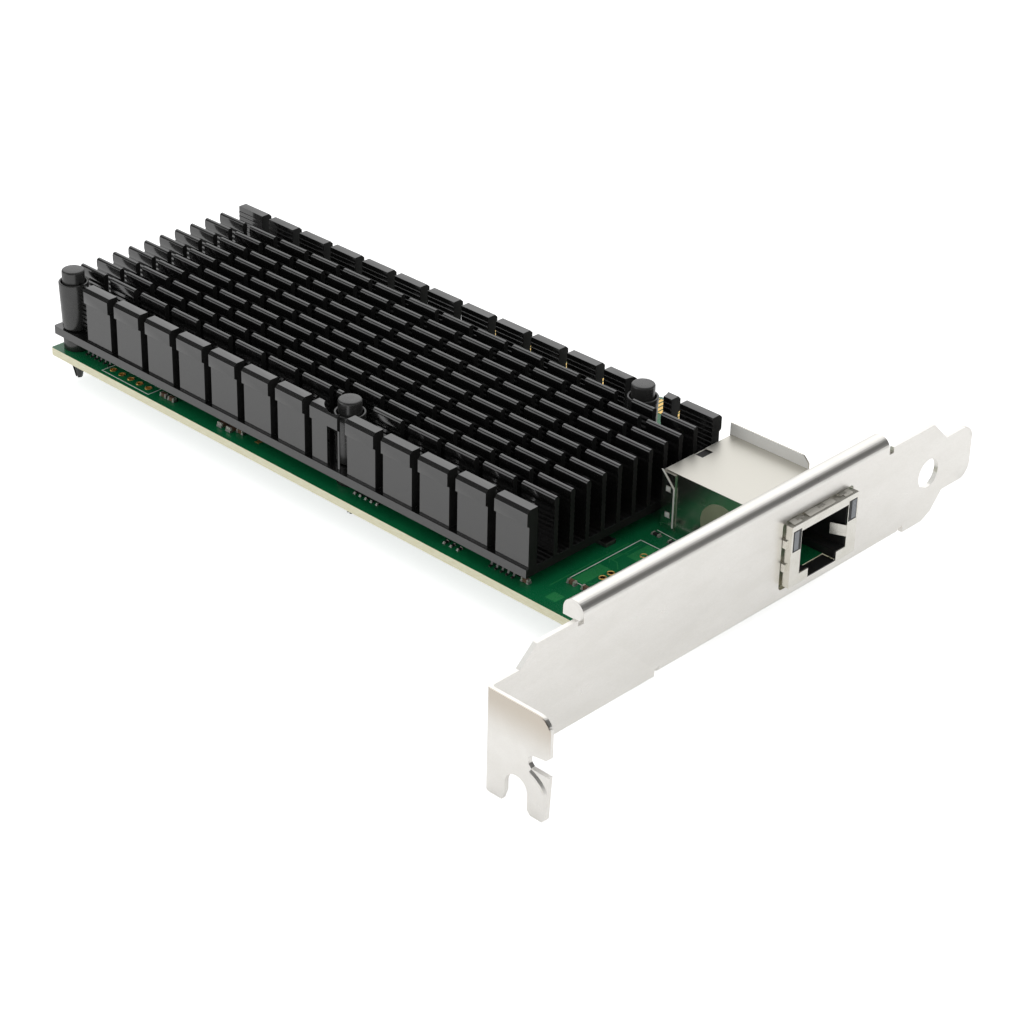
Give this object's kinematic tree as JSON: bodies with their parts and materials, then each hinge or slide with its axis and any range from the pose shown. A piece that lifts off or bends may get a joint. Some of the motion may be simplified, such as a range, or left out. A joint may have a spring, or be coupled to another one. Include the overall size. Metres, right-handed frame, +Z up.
{
  "type": "network interface card",
  "caption": "Server network card with a finned black heat sink, a square network port and a full-height steel bracket.",
  "frame": {"origin": "on the key notch's centre line, at the end of the contact edge, on the board's component face", "axes": "+X out through the bracket, +Y from the board past the contact edge, +Z up from the component face"},
  "size_m": [0.1625, 0.12, 0.0235],
  "materials": {
    "board_laminate": "green solder mask over glass laminate",
    "gold_plate": "gold plate",
    "anodised_aluminium": "black anodised",
    "chip_moulding": "moulded epoxy",
    "thermal_silicone": "soft grey silicone",
    "capacitor_ceramic": "ceramic with tinned ends",
    "resistor_film": "glazed film with tinned ends",
    "coil_moulding": "moulded iron powder",
    "tinned_steel": "tinned",
    "nickel_sheet": "nickel plated",
    "port_moulding": "moulded nylon",
    "clear_plastic": "clear moulding",
    "sticker_film": "plain paper",
    "bracket_steel": "nickel plated steel",
    "screw_steel": "plated",
    "pin_nylon": "moulded nylon"
  },
  "bodies": {
    "root": {"bracket": "bracket_steel", "bracket_screws": "screw_steel", "bulk_capacitors": "coil_moulding", "chip_capacitors": "capacitor_ceramic", "chip_resistors": "resistor_film", "circuit_board": "board_laminate", "clock_crystals": "tinned_steel", "contacts_component_side": "gold_plate", "contacts_solder_side": "gold_plate", "controller_chip": "chip_moulding", "controller_chip_pad": "thermal_silicone", "coupling_capacitors": "capacitor_ceramic", "filter_block": "chip_moulding", "heat_sink": "anodised_aluminium", "light_pipe_far": "clear_plastic", "light_pipe_near": "clear_plastic", "line_chip": "chip_moulding", "line_chip_pad": "thermal_silicone", "memory_chip": "chip_moulding", "pin_sleeve_1": "pin_nylon", "pin_sleeve_2": "pin_nylon", "pin_sleeve_3": "pin_nylon", "pin_spacer_1": "pin_nylon", "pin_spacer_2": "pin_nylon", "pin_spacer_3": "pin_nylon", "plated_rings": "gold_plate", "port_can": "nickel_sheet", "port_contacts": "gold_plate", "port_housing": "port_moulding", "port_rear_cover": "nickel_sheet", "port_tails": "tinned_steel", "power_coils": "coil_moulding", "power_switch_chip": "chip_moulding", "push_pin_1": "pin_nylon", "push_pin_2": "pin_nylon", "push_pin_3": "pin_nylon", "regulator_chips": "chip_moulding", "round_sticker": "sticker_film", "solder_side_parts": "capacitor_ceramic"}
  },
  "joints": []
}
